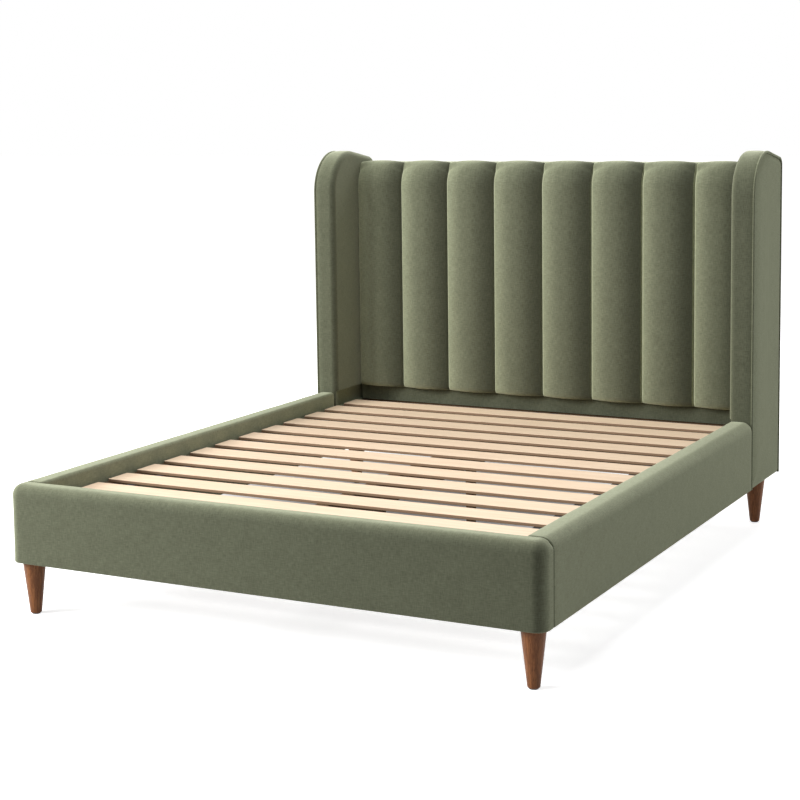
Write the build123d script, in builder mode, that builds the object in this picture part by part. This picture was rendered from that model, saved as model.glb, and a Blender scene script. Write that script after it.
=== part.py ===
from build123d import *
import os

os.makedirs("parts", exist_ok=True)

# Upholstered wingback bed: channelled headboard between two wings, padded rails and footboard,
# a slatted deck on a centre beam, and tapered wooden legs. All sizes are in millimetres.
# The origin lies on the floor below the middle of the bed. +Y runs to the headboard, +Z up.

# Mattress that the bed takes, and the room left round it
mattress_width = 1600.0
mattress_length = 2000.0
mattress_side_gap = 8.0
mattress_end_gap = 38.0

# Rails and footboard
underside_z = 168.0
rail_height = 246.0
rail_thickness = 82.0
footboard_thickness = 68.0
rail_outer_padding = 26.0
rail_core_thickness = 38.0
footboard_outer_padding = 19.0
footboard_core_thickness = 42.0
footboard_end_padding = 24.0
top_padding = 22.0
outer_top_radius = 36.0
inner_top_radius = 10.0
lower_edge_radius = 4.0
footboard_corner_radius = 40.0

# Headboard, from its padded face to its back
headboard_rise = 918.0
channel_count = 8
channel_depth = 72.0
channel_crown = 22.0
channel_shoulder_radius = 20.0
channel_top_radius = 62.0
channel_bottom_radius = 24.0
channel_corner_radius = 12.0
channel_foot_rise = 4.0
front_board_thickness = 12.0
frame_depth = 106.0
back_panel_thickness = 6.0
back_panel_inset = 18.0
back_panel_corner_radius = 12.0
top_band_thickness = 20.0
top_band_drop = 8.0
top_band_radius = 12.0
stile_width = 38.0
stile_count = 5
frame_rail_height = 60.0
strip_thickness = 12.0
strip_lap = 6.0

# Wings
wing_reach = 170.0
wing_corner_rise = 63.0
wing_back_rise = 8.0
wing_front_radius = 135.0
wing_back_radius = 34.0
wing_inner_padding = 17.0
wing_bulge = 7.0
wing_foot_skin = 2.0
wing_frame_thickness = 56.0
wing_front_padding = 22.0
wing_top_padding = 16.0
wing_member = 70.0
wing_inner_edge_radius = 16.0
side_panel_inset = 1.5
side_panel_edge_radius = 3.0
welt_diameter = 8.4

# Slatted deck
deck_drop = 53.0
slat_count = 13
slat_width = 105.0
slat_thickness = 10.0
slat_edge_radius = 2.0
slat_end_gap = 8.0
front_slat_gap = 14.0
head_slat_gap = 8.0
ledge_width = 30.0
ledge_height = 40.0
ledge_edge_radius = 2.0
tape_width = 25.0
tape_thickness = 1.0
tape_inset = 90.0

# Centre beam, its brackets and its legs
beam_width = 45.0
beam_height = 80.0
beam_edge_radius = 3.0
beam_fit = 0.5
bracket_thickness = 3.0
bracket_seat = 40.0
bracket_cheek_height = 55.0
bracket_plate_width = 110.0
bracket_plate_height = 80.0
bracket_corner_radius = 8.0
centre_leg_count = 2
centre_leg_top_radius = 20.0
centre_leg_bottom_radius = 17.0
centre_leg_gap = 48.0
stud_radius = 5.0
stud_fit = 0.3
stud_length = 66.0
stud_bore_depth = 50.0
foot_radius = 22.0
foot_height = 8.0
foot_edge_radius = 2.5
foot_nut_across = 19.0
foot_nut_height = 10.0

# Tapered legs and what fastens them
leg_side_inset = 54.0
front_leg_inset = 54.0
rear_leg_setback = 141.0
leg_top_radius = 36.0
leg_bottom_radius = 18.0
leg_edge_radius = 3.0
leg_plate_size = 66.0
leg_plate_thickness = 3.0
leg_plate_corner_radius = 6.0
glide_radius = 13.0
glide_height = 3.0
hanger_radius = 4.0
hanger_fit = 0.3
hanger_rise = 32.0
hanger_depth = 34.0

# Corner blocks, brackets, joining plates and bolts
block_leg = 110.0
block_height = 50.0
corner_bracket_thickness = 4.0
corner_bracket_leg = 62.0
corner_bracket_gap = 3.0
corner_bracket_radius = 5.0
joint_plate_length = 160.0
bolt_radius = 4.0
bolt_fit = 0.3
bolt_length = 44.0
bolt_head_radius = 9.0
bolt_head_height = 5.0
bolt_edge_margin = 22.0
bolt_height_share = 0.25

# Room between soft pieces side by side, and how far every cut runs past its piece
soft_gap = 0.4
overrun = 5.0

# Places worked out from the sizes above
inner_half_width = mattress_width / 2 + mattress_side_gap
half_width = inner_half_width + rail_thickness
inner_length = mattress_length + mattress_end_gap
headboard_depth = channel_depth + front_board_thickness + frame_depth + back_panel_thickness
overall_length = footboard_thickness + inner_length + headboard_depth
front_y = -overall_length / 2
back_y = overall_length / 2
footboard_inner_y = front_y + footboard_thickness
crest_y = footboard_inner_y + inner_length
board_front_y = crest_y + channel_depth
board_back_y = board_front_y + front_board_thickness
frame_back_y = board_back_y + frame_depth
wing_front_y = crest_y - wing_reach
rail_top_z = underside_z + rail_height
slat_top_z = rail_top_z - deck_drop
slat_bottom_z = slat_top_z - slat_thickness
beam_bottom_z = slat_bottom_z - beam_height
channel_bottom_z = rail_top_z + channel_foot_rise
headboard_top_z = rail_top_z + headboard_rise
top_band_z = headboard_top_z - top_band_drop
board_top_z = top_band_z - top_band_thickness
rail_core_outer_x = half_width - rail_outer_padding
rail_core_inner_x = rail_core_outer_x - rail_core_thickness
core_top_z = rail_top_z - top_padding
footboard_core_x = half_width - footboard_end_padding
footboard_core_front_y = front_y + footboard_outer_padding
footboard_core_back_y = footboard_core_front_y + footboard_core_thickness
ledge_bottom_z = slat_bottom_z - ledge_height
bracket_low_z = underside_z + block_height
corner_bracket_height = ledge_bottom_z - bracket_low_z - corner_bracket_gap
wing_face_x = inner_half_width - wing_bulge
leg_x = half_width - leg_side_inset
front_leg_y = front_y + front_leg_inset
rear_leg_y = back_y - rear_leg_setback
leg_top_z = underside_z - leg_plate_thickness


def finish(piece, name):
    """Label one finished piece and write it to its own file."""
    piece.part.label = name
    export_step(piece.part, f"parts/{name}.step")


def finish_pair(piece, name):
    """Write a piece of the right side, and its mirror image for the left side."""
    finish(piece, f"{name}_right")
    with BuildPart() as other_side:
        mirror(piece.part, about=Plane.YZ)
    finish(other_side, f"{name}_left")


def rounded_outline(corners, radii):
    """Fill the closed outline through these corners, each rounded by its own radius."""
    with BuildLine() as outline:
        FilletPolyline(*corners, radius=radii, close=True)
    make_face(outline.edges())


def block(low, high, mode=Mode.ADD):
    """Add or cut the square-edged block between two opposite corners."""
    size = [top - bottom for bottom, top in zip(low, high)]
    centre = tuple((bottom + top) / 2 for bottom, top in zip(low, high))
    with Locations(centre):
        Box(*size, mode=mode)


# Bolts stand on planes whose normal points the way the shank goes
bolt_low_z = bracket_low_z + bolt_height_share * corner_bracket_height
bolt_high_z = ledge_bottom_z - corner_bracket_gap - bolt_height_share * corner_bracket_height
bolt_reach = corner_bracket_leg - bolt_edge_margin
bolt_face_x = inner_half_width - corner_bracket_thickness
bolt_face_y = footboard_inner_y + corner_bracket_thickness
joint_bolt_reach = joint_plate_length / 2 - bolt_edge_margin


def side_bolts(y):
    """Planes of the two bolts that go out through the right rail or wing at this y."""
    heights = (bolt_low_z, bolt_high_z)
    return [Plane(origin=(bolt_face_x, y, z), z_dir=(1, 0, 0)) for z in heights]


def footboard_bolts(side):
    """Planes of the two bolts that go into the footboard on one side, -1 left or 1 right."""
    x = side * (inner_half_width - bolt_reach)
    heights = (bolt_low_z, bolt_high_z)
    return [Plane(origin=(x, bolt_face_y, z), z_dir=(0, -1, 0)) for z in heights]


rail_front_bolts = side_bolts(footboard_inner_y + bolt_reach)
rail_rear_bolts = side_bolts(wing_front_y - joint_bolt_reach)
wing_bolts = side_bolts(wing_front_y + joint_bolt_reach)


def cut_bolt_holes(planes):
    """Drill the bolt holes that these planes call for."""
    from_plane = (Align.CENTER, Align.CENTER, Align.MIN)
    with Locations(*planes):
        Cylinder(bolt_radius + bolt_fit, bolt_length + bolt_fit, align=from_plane, mode=Mode.SUBTRACT)


def cut_hanger_hole(x, y):
    """Drill the hole for a leg's hanger bolt up into the timber above it."""
    from_plane = (Align.CENTER, Align.CENTER, Align.MIN)
    with Locations((x, y, underside_z)):
        Cylinder(hanger_radius + hanger_fit, hanger_rise + hanger_fit, align=from_plane, mode=Mode.SUBTRACT)


# Footboard: timber core in a padded cover, open below
with BuildPart() as footboard_cover:
    with BuildSketch(Plane.XY.offset(underside_z)):
        rounded_outline(
            [
                (-half_width, footboard_inner_y),
                (-half_width, front_y),
                (half_width, front_y),
                (half_width, footboard_inner_y),
            ],
            [0, footboard_corner_radius, footboard_corner_radius, 0],
        )
    extrude(amount=rail_height)
    top_edges = footboard_cover.faces().sort_by(Axis.Z)[-1].edges().sort_by(Axis.Y)
    fillet(top_edges[:-1], outer_top_radius)
    with BuildSketch(Plane.YZ.offset(-half_width)):
        rounded_outline(
            [
                (front_y, underside_z),
                (front_y, rail_top_z),
                (footboard_inner_y, rail_top_z),
                (footboard_inner_y, underside_z),
            ],
            [0, 0, inner_top_radius, 0],
        )
    extrude(amount=2 * half_width, mode=Mode.INTERSECT)
    fillet(footboard_cover.faces().sort_by(Axis.Z)[0].edges(), lower_edge_radius)
    block(
        (-footboard_core_x, footboard_core_front_y, underside_z - overrun),
        (footboard_core_x, footboard_core_back_y, core_top_z),
        mode=Mode.SUBTRACT,
    )
    cut_bolt_holes(footboard_bolts(-1) + footboard_bolts(1))
finish(footboard_cover, "footboard_cover")

with BuildPart() as footboard_core:
    block(
        (-footboard_core_x, footboard_core_front_y, underside_z),
        (footboard_core_x, footboard_core_back_y, core_top_z),
    )
    cut_bolt_holes(footboard_bolts(-1) + footboard_bolts(1))
    cut_hanger_hole(-leg_x, front_leg_y)
    cut_hanger_hole(leg_x, front_leg_y)
finish(footboard_core, "footboard_core")

# Side rails: timber core in a padded cover, open below
with BuildPart() as side_rail_cover:
    with BuildSketch(Plane.XZ.offset(-footboard_inner_y)):
        rounded_outline(
            [
                (inner_half_width, underside_z),
                (inner_half_width, rail_top_z),
                (half_width, rail_top_z),
                (half_width, underside_z),
            ],
            [lower_edge_radius, inner_top_radius, outer_top_radius, lower_edge_radius],
        )
    extrude(amount=footboard_inner_y - wing_front_y)
    block(
        (rail_core_inner_x, footboard_inner_y - overrun, underside_z - overrun),
        (rail_core_outer_x, wing_front_y + overrun, core_top_z),
        mode=Mode.SUBTRACT,
    )
    cut_bolt_holes(rail_front_bolts + rail_rear_bolts)
finish_pair(side_rail_cover, "side_rail_cover")

with BuildPart() as side_rail_core:
    block(
        (rail_core_inner_x, footboard_inner_y, underside_z),
        (rail_core_outer_x, wing_front_y, core_top_z),
    )
    cut_bolt_holes(rail_front_bolts + rail_rear_bolts)
finish_pair(side_rail_core, "side_rail_core")


def wing_outline(front_inset, top_inset, back_inset, foot_drop):
    """Fill the wing's outline, drawn in from its front, top and back."""
    rounded_outline(
        [
            (wing_front_y + front_inset, underside_z - foot_drop),
            (wing_front_y + front_inset, headboard_top_z + wing_corner_rise - top_inset),
            (frame_back_y - back_inset, headboard_top_z + wing_back_rise - top_inset),
            (frame_back_y - back_inset, underside_z - foot_drop),
        ],
        [0, wing_front_radius - front_inset, wing_back_radius - max(back_inset, 0), 0],
    )


# Wings: timber frame, padded cap over its front, top and inner side, outer panel and welt
wing_frame_x = inner_half_width + wing_inner_padding
wing_cap_x = wing_frame_x + wing_frame_thickness
window_front_y = wing_front_y + wing_front_padding + wing_member
window_back_y = frame_back_y - wing_member
wing_windows = (
    (underside_z + wing_member, rail_top_z - wing_member),
    (rail_top_z, headboard_top_z - wing_member),
)
with BuildPart() as wing_pad:
    with BuildSketch(Plane.YZ.offset(wing_face_x)):
        wing_outline(0, 0, 0, 0)
    extrude(amount=wing_cap_x - wing_face_x)
    inner_edges = wing_pad.faces().sort_by(Axis.X)[0].edges()
    front_and_top = inner_edges.sort_by(Axis.Z)[1:].sort_by(Axis.Y)[:-1]
    fillet(front_and_top, wing_inner_edge_radius)
    with BuildSketch(Plane.YZ.offset(wing_frame_x)):
        wing_outline(wing_front_padding, wing_top_padding, -overrun, overrun)
    extrude(amount=wing_frame_thickness + overrun, mode=Mode.SUBTRACT)
    block(
        (wing_face_x - overrun, wing_front_y - overrun, underside_z - overrun),
        (inner_half_width, frame_back_y + overrun, channel_bottom_z),
        mode=Mode.SUBTRACT,
    )
    block(
        (wing_face_x - overrun, wing_front_y + wing_front_padding, slat_bottom_z),
        (wing_frame_x - wing_foot_skin, board_front_y, channel_bottom_z),
        mode=Mode.SUBTRACT,
    )
    cut_bolt_holes(wing_bolts)
finish_pair(wing_pad, "wing_pad")

with BuildPart() as wing_frame:
    with BuildSketch(Plane.YZ.offset(wing_frame_x)):
        wing_outline(wing_front_padding, wing_top_padding, 0, 0)
    extrude(amount=wing_frame_thickness)
    for low_z, high_z in wing_windows:
        block(
            (wing_frame_x - overrun, window_front_y, low_z),
            (wing_cap_x + overrun, window_back_y, high_z),
            mode=Mode.SUBTRACT,
        )
    cut_bolt_holes(wing_bolts)
    cut_hanger_hole(leg_x, rear_leg_y)
finish_pair(wing_frame, "wing_frame")

panel_rim = welt_diameter + soft_gap
with BuildPart() as wing_side_panel:
    with BuildSketch(Plane.YZ.offset(wing_cap_x)):
        wing_outline(panel_rim, panel_rim, panel_rim, 0)
    extrude(amount=half_width - side_panel_inset - wing_cap_x)
    outer_edges = wing_side_panel.faces().sort_by(Axis.X)[-1].edges()
    fillet(outer_edges.sort_by(Axis.Z)[1:], side_panel_edge_radius)
finish_pair(wing_side_panel, "wing_side_panel")

welt_radius = welt_diameter / 2
welt_x = half_width - welt_radius
with BuildPart() as wing_welts:
    with BuildLine(Plane.YZ.offset(welt_x)) as welt_path:
        FilletPolyline(
            (wing_front_y + welt_radius, underside_z),
            (wing_front_y + welt_radius, headboard_top_z + wing_corner_rise - welt_radius),
            (frame_back_y - welt_radius, headboard_top_z + wing_back_rise - welt_radius),
            (frame_back_y - welt_radius, underside_z),
            radius=[wing_front_radius - welt_radius, wing_back_radius - welt_radius],
        )
    with BuildSketch(Plane.XY.offset(underside_z)):
        with Locations((welt_x, wing_front_y + welt_radius)):
            Circle(welt_radius)
    sweep(path=welt_path.wires()[0])
    mirror(about=Plane.YZ)
finish(wing_welts, "wing_welts")

# Headboard channels: crowned pads with drawn-in sides that roll over the top and under the bottom
channel_pitch = 2 * inner_half_width / channel_count
shoulder_y = crest_y + channel_crown
channel_seams = [seam * channel_pitch - inner_half_width for seam in range(1, channel_count)]
channel_edges = [-wing_face_x, *channel_seams, wing_face_x]
for channel in range(channel_count):
    left_x = channel_edges[channel] + soft_gap / 2
    right_x = channel_edges[channel + 1] - soft_gap / 2
    middle_x = (left_x + right_x) / 2
    with BuildPart() as channel_pad:
        with BuildSketch(Plane.XY.offset(channel_bottom_z)):
            with BuildLine():
                Polyline(
                    (left_x, shoulder_y),
                    (left_x, board_front_y),
                    (right_x, board_front_y),
                    (right_x, shoulder_y),
                )
                ThreePointArc((right_x, shoulder_y), (middle_x, crest_y), (left_x, shoulder_y))
            make_face()
            fillet(vertices().group_by(Axis.Y)[0], channel_shoulder_radius)
        extrude(amount=headboard_top_z - channel_bottom_z)
        with BuildSketch(Plane.YZ.offset(left_x)):
            rounded_outline(
                [
                    (crest_y, channel_bottom_z),
                    (crest_y, headboard_top_z),
                    (board_front_y, headboard_top_z),
                    (board_front_y, channel_bottom_z),
                ],
                [channel_bottom_radius, channel_top_radius, 0, 0],
            )
        extrude(amount=right_x - left_x, mode=Mode.INTERSECT)
        with BuildSketch(Plane.XZ.offset(-crest_y)):
            rounded_outline(
                [
                    (left_x, channel_bottom_z),
                    (left_x, headboard_top_z),
                    (right_x, headboard_top_z),
                    (right_x, channel_bottom_z),
                ],
                [0, channel_corner_radius, channel_corner_radius, 0],
            )
        extrude(amount=-channel_depth, mode=Mode.INTERSECT)
    finish(channel_pad, f"channel_pad_{channel + 1}")

# Headboard body behind the channels
with BuildPart() as headboard_front_board:
    block(
        (-wing_face_x, board_front_y, underside_z),
        (wing_face_x, board_back_y, board_top_z),
    )
finish(headboard_front_board, "headboard_front_board")

with BuildPart() as headboard_lower_strip:
    block(
        (-inner_half_width + soft_gap, board_front_y - strip_thickness, slat_top_z - strip_lap),
        (inner_half_width - soft_gap, board_front_y, channel_bottom_z - soft_gap),
    )
finish(headboard_lower_strip, "headboard_lower_strip")

with BuildPart() as headboard_top_band:
    block(
        (-wing_face_x + soft_gap, board_front_y, board_top_z),
        (wing_face_x - soft_gap, frame_back_y, top_band_z),
    )
    top_band_edges = headboard_top_band.edges().filter_by(Axis.X).group_by(Axis.Z)[-1]
    fillet(top_band_edges.sort_by(Axis.Y)[-1], top_band_radius)
finish(headboard_top_band, "headboard_top_band")

with BuildPart() as headboard_frame_rails:
    block(
        (-wing_face_x, board_back_y, underside_z),
        (wing_face_x, frame_back_y, underside_z + frame_rail_height),
    )
    block(
        (-wing_face_x, board_back_y, board_top_z - frame_rail_height),
        (wing_face_x, frame_back_y, board_top_z),
    )
finish(headboard_frame_rails, "headboard_frame_rails")

stile_pitch = (2 * wing_face_x - stile_width) / (stile_count - 1)
with BuildPart() as headboard_frame_stiles:
    for stile in range(stile_count):
        stile_x = stile * stile_pitch - wing_face_x
        block(
            (stile_x, board_back_y, underside_z + frame_rail_height),
            (stile_x + stile_width, frame_back_y, board_top_z - frame_rail_height),
        )
finish(headboard_frame_stiles, "headboard_frame_stiles")

panel_half_width = half_width - back_panel_inset
panel_low_z = underside_z + back_panel_inset
panel_high_z = top_band_z - back_panel_inset
with BuildPart() as headboard_back_panel:
    with BuildSketch(Plane.XZ.offset(-frame_back_y)):
        rounded_outline(
            [
                (-panel_half_width, panel_low_z),
                (-panel_half_width, panel_high_z),
                (panel_half_width, panel_high_z),
                (panel_half_width, panel_low_z),
            ],
            [back_panel_corner_radius] * 4,
        )
    extrude(amount=-back_panel_thickness)
finish(headboard_back_panel, "headboard_back_panel")

# Slatted deck on its ledges, with the tapes that keep the slats apart
with BuildPart() as slat_ledge:
    with BuildSketch(Plane.XZ.offset(-footboard_inner_y)):
        rounded_outline(
            [
                (inner_half_width - ledge_width, ledge_bottom_z),
                (inner_half_width - ledge_width, slat_bottom_z),
                (inner_half_width, slat_bottom_z),
                (inner_half_width, ledge_bottom_z),
            ],
            [ledge_edge_radius, ledge_edge_radius, 0, 0],
        )
    extrude(amount=footboard_inner_y - board_front_y)
finish_pair(slat_ledge, "slat_ledge")

slat_half_length = inner_half_width - slat_end_gap
slat_run = inner_length - front_slat_gap - head_slat_gap - slat_width
slat_pitch = slat_run / (slat_count - 1)
first_slat_y = footboard_inner_y + front_slat_gap
for slat in range(slat_count):
    slat_front_y = first_slat_y + (slat_count - 1 - slat) * slat_pitch
    with BuildPart() as slat_board:
        with BuildSketch(Plane.YZ.offset(-slat_half_length)):
            rounded_outline(
                [
                    (slat_front_y, slat_bottom_z),
                    (slat_front_y, slat_top_z),
                    (slat_front_y + slat_width, slat_top_z),
                    (slat_front_y + slat_width, slat_bottom_z),
                ],
                [slat_edge_radius] * 4,
            )
        extrude(amount=2 * slat_half_length)
    finish(slat_board, f"slat_{slat + 1:02d}")

tape_x = inner_half_width - tape_inset
last_slat_end_y = first_slat_y + slat_run + slat_width
with BuildPart() as slat_tapes:
    block(
        (tape_x - tape_width, first_slat_y, slat_bottom_z - tape_thickness),
        (tape_x, last_slat_end_y, slat_bottom_z),
    )
    mirror(about=Plane.YZ)
finish(slat_tapes, "slat_tapes")

# Centre beam with a saddle bracket at each end
beam_front_y = footboard_inner_y + bracket_thickness + beam_fit
beam_back_y = board_front_y - bracket_thickness - beam_fit
with BuildPart() as centre_beam:
    with BuildSketch(Plane.XZ.offset(-beam_front_y)):
        rounded_outline(
            [
                (-beam_width / 2, beam_bottom_z),
                (-beam_width / 2, slat_bottom_z),
                (beam_width / 2, slat_bottom_z),
                (beam_width / 2, beam_bottom_z),
            ],
            [beam_edge_radius] * 4,
        )
    extrude(amount=beam_front_y - beam_back_y)
finish(centre_beam, "centre_beam")

saddle_half_width = beam_width / 2 + beam_fit
saddle_bottom_z = beam_bottom_z - bracket_thickness
saddle_top_z = beam_bottom_z + bracket_cheek_height
with BuildPart() as beam_brackets:
    for wall_y, inward in ((footboard_inner_y, 1), (board_front_y, -1)):
        with BuildSketch(Plane.XZ.offset(-wall_y)):
            with Locations((0, saddle_bottom_z + bracket_plate_height / 2)):
                RectangleRounded(bracket_plate_width, bracket_plate_height, bracket_corner_radius)
        extrude(amount=-inward * bracket_thickness)
        with BuildSketch(Plane.XZ.offset(-wall_y)):
            with BuildLine():
                Polyline(
                    (-saddle_half_width - bracket_thickness, saddle_bottom_z),
                    (saddle_half_width + bracket_thickness, saddle_bottom_z),
                    (saddle_half_width + bracket_thickness, saddle_top_z),
                    (saddle_half_width, saddle_top_z),
                    (saddle_half_width, beam_bottom_z),
                    (-saddle_half_width, beam_bottom_z),
                    (-saddle_half_width, saddle_top_z),
                    (-saddle_half_width - bracket_thickness, saddle_top_z),
                    close=True,
                )
            make_face()
        extrude(amount=-inward * (bracket_thickness + bracket_seat))
finish(beam_brackets, "beam_brackets")

# Centre legs, each with a foot whose stud screws up into the leg
beam_length = beam_back_y - beam_front_y
foot_top_z = foot_height + foot_nut_height
for centre_leg_number in range(1, centre_leg_count + 1):
    centre_leg_y = beam_front_y + centre_leg_number * beam_length / (centre_leg_count + 1)
    with BuildPart() as centre_leg:
        with BuildSketch(Plane.XZ.offset(-centre_leg_y)):
            with BuildLine():
                Polyline(
                    (0, centre_leg_gap + stud_bore_depth),
                    (stud_radius + stud_fit, centre_leg_gap + stud_bore_depth),
                    (stud_radius + stud_fit, centre_leg_gap),
                    (centre_leg_bottom_radius, centre_leg_gap),
                    (centre_leg_top_radius, beam_bottom_z),
                    (0, beam_bottom_z),
                    close=True,
                )
            make_face()
        revolve(axis=Axis((0, centre_leg_y, 0), (0, 0, 1)))
    finish(centre_leg, f"centre_leg_{centre_leg_number}")

    with BuildPart() as centre_foot:
        with BuildSketch():
            with Locations((0, centre_leg_y)):
                Circle(foot_radius)
        extrude(amount=foot_height)
        fillet(centre_foot.edges().group_by(Axis.Z)[-1], foot_edge_radius)
        with BuildSketch(Plane.XY.offset(foot_height)):
            with Locations((0, centre_leg_y)):
                RegularPolygon(foot_nut_across / 2, side_count=6, major_radius=False)
        extrude(amount=foot_nut_height)
        with BuildSketch(Plane.XY.offset(foot_top_z)):
            with Locations((0, centre_leg_y)):
                Circle(stud_radius)
        extrude(amount=stud_length)
    finish(centre_foot, f"centre_foot_{centre_leg_number}")

# Tapered legs at the four corners, with glides below, plates above and hanger bolts
leg_places = {
    "leg_front_left": (-leg_x, front_leg_y),
    "leg_front_right": (leg_x, front_leg_y),
    "leg_rear_left": (-leg_x, rear_leg_y),
    "leg_rear_right": (leg_x, rear_leg_y),
}
for leg_name, (x, y) in leg_places.items():
    with BuildPart() as leg:
        with BuildSketch(Plane.XZ.offset(-y)):
            with BuildLine():
                Polyline(
                    (x, glide_height),
                    (x + leg_bottom_radius, glide_height),
                    (x + leg_top_radius, leg_top_z),
                    (x + hanger_radius + hanger_fit, leg_top_z),
                    (x + hanger_radius + hanger_fit, leg_top_z - hanger_depth - hanger_fit),
                    (x, leg_top_z - hanger_depth - hanger_fit),
                    close=True,
                )
            make_face()
            fillet(vertices().group_by(Axis.Y)[0].sort_by(Axis.X)[-1], leg_edge_radius)
        revolve(axis=Axis((x, y, 0), (0, 0, 1)))
    finish(leg, leg_name)

with BuildPart() as leg_glides:
    with BuildSketch():
        with Locations(*leg_places.values()):
            Circle(glide_radius)
    extrude(amount=glide_height)
finish(leg_glides, "leg_glides")

with BuildPart() as leg_plates:
    with BuildSketch(Plane.XY.offset(leg_top_z)):
        with Locations(*leg_places.values()):
            RectangleRounded(leg_plate_size, leg_plate_size, leg_plate_corner_radius)
            Circle(hanger_radius + hanger_fit, mode=Mode.SUBTRACT)
    extrude(amount=leg_plate_thickness)
finish(leg_plates, "leg_plates")

with BuildPart() as hanger_bolts:
    with BuildSketch(Plane.XY.offset(leg_top_z - hanger_depth)):
        with Locations(*leg_places.values()):
            Circle(hanger_radius)
    extrude(amount=hanger_depth + leg_plate_thickness + hanger_rise)
finish(hanger_bolts, "hanger_bolts")

# Corner blocks inside the four corners
with BuildPart() as corner_blocks:
    for corner_y, inward in ((footboard_inner_y, 1), (board_front_y, -1)):
        with BuildSketch(Plane.XY.offset(underside_z)):
            with BuildLine():
                Polyline(
                    (inner_half_width, corner_y),
                    (inner_half_width - block_leg, corner_y),
                    (inner_half_width, corner_y + inward * block_leg),
                    close=True,
                )
            make_face()
        extrude(amount=block_height)
    mirror(about=Plane.YZ)
finish(corner_blocks, "corner_blocks")

# Steel angles in the front corners, and flat plates across the joint of rail and wing
with BuildPart() as corner_brackets:
    with BuildSketch(Plane.XY.offset(bracket_low_z)):
        rounded_outline(
            [
                (inner_half_width, footboard_inner_y),
                (inner_half_width - corner_bracket_leg, footboard_inner_y),
                (inner_half_width - corner_bracket_leg, footboard_inner_y + corner_bracket_thickness),
                (inner_half_width - corner_bracket_thickness, footboard_inner_y + corner_bracket_thickness),
                (inner_half_width - corner_bracket_thickness, footboard_inner_y + corner_bracket_leg),
                (inner_half_width, footboard_inner_y + corner_bracket_leg),
            ],
            [0, 0, 0, corner_bracket_radius, 0, 0],
        )
    extrude(amount=corner_bracket_height)
    block(
        (bolt_face_x, wing_front_y - joint_plate_length / 2, bracket_low_z),
        (inner_half_width, wing_front_y + joint_plate_length / 2, bracket_low_z + corner_bracket_height),
    )
    cut_bolt_holes(rail_front_bolts + rail_rear_bolts + wing_bolts + footboard_bolts(1))
    mirror(about=Plane.YZ)
finish(corner_brackets, "corner_brackets")

with BuildPart() as corner_bolts:
    with Locations(*rail_front_bolts, *rail_rear_bolts, *wing_bolts, *footboard_bolts(1)):
        Cylinder(bolt_radius, bolt_length, align=(Align.CENTER, Align.CENTER, Align.MIN))
        Cylinder(bolt_head_radius, bolt_head_height, align=(Align.CENTER, Align.CENTER, Align.MAX))
    mirror(about=Plane.YZ)
finish(corner_bolts, "corner_bolts")
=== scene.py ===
import math

import bmesh
import bpy
import numpy as np
from mathutils import Matrix, Vector


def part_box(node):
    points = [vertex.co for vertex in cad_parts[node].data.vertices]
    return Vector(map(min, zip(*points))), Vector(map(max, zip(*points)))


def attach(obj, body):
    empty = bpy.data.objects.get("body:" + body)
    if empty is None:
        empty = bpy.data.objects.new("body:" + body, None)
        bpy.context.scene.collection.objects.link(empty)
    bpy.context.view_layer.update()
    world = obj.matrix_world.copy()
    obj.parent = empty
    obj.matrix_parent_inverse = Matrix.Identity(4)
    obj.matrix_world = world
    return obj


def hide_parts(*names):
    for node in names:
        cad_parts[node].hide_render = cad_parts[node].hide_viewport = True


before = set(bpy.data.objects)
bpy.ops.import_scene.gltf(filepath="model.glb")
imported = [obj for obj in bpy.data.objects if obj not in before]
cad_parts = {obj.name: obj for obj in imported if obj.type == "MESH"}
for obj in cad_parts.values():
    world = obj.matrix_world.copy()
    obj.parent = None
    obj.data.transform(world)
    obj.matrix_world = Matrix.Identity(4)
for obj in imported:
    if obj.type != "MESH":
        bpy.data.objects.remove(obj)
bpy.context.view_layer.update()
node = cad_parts

# Sizes of the upholstery and the legs, in metres, shares or radians
pad_thickness = 0.0718
pad_crown = 0.033
pad_edge = 0.009
pad_edge_share = 0.90
pad_wall_share = 0.984
pad_shoulder = pad_crown + pad_edge
pad_top_roll = (0.0715, 0.105)
pad_top_groove = 0.25
groove_fade_start = 1.0
groove_fade_run = 0.57
pad_foot_roll = 0.022
rail_top_roll = 0.036
rail_inner_roll = 0.012
rail_foot_roll = 0.004
rail_end_roll = 0.006
rail_head_roll = 0.011
footboard_corner = 0.040
wing_front_roll = 0.160
wing_back_roll = 0.034
wing_front_rise = 0.069
wing_back_rise = 0.008
wing_inner_roll = 0.022
wing_top_run = 0.200
wing_level_z = 0.600
row_gap = 0.001
band_crown = 0.003
band_seam_place = 1.7
band_seam_dip = 0.3
panel_foot_rolls = (0.006, 0.016)
panel_edge_slopes = (0.085, 0.014)
panel_slope_start = 0.080
panel_slope_run = 0.160
panel_rise_power = 2.2
panel_recess = 0.0075
welt_radius = 0.0042
welt_tuck = 0.0005
welt_underlap = 0.002
least_roll = 0.002
back_cover = 0.0006
back_cover_strip = 0.010
inner_padding = 0.0149
padding_step = 0.002
padding_stop = 0.030
relief_height = 0.0007
relief_length = 0.16
relief_fade = 0.030
seam_fade = 0.020
rail_seed = 40
footboard_seed = 77
leg_foot_radius = 0.018
leg_foot_edge = 0.004

# Looks of the cloth
nap_lean = 0.2
# Gain and base of the painted sheen: the base colour is raised where the cloth is seen at a low angle
painted_sheen_gain = 1.6
painted_sheen_base = 0.68
patch_gain = 0.8
slub_gain = 2.8
blend_base = -1.3
# Painted light across each pad: a highlight on its left flank, shade on its right one, and a brightening of
# the whole pad
left_flank_painted_highlight = 0.22
right_flank_painted_shade = -0.7
pad_painted_brightening = 1.2
# Painted shade on the wings' inner faces
wing_inner_painted_shade = 0.55

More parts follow.
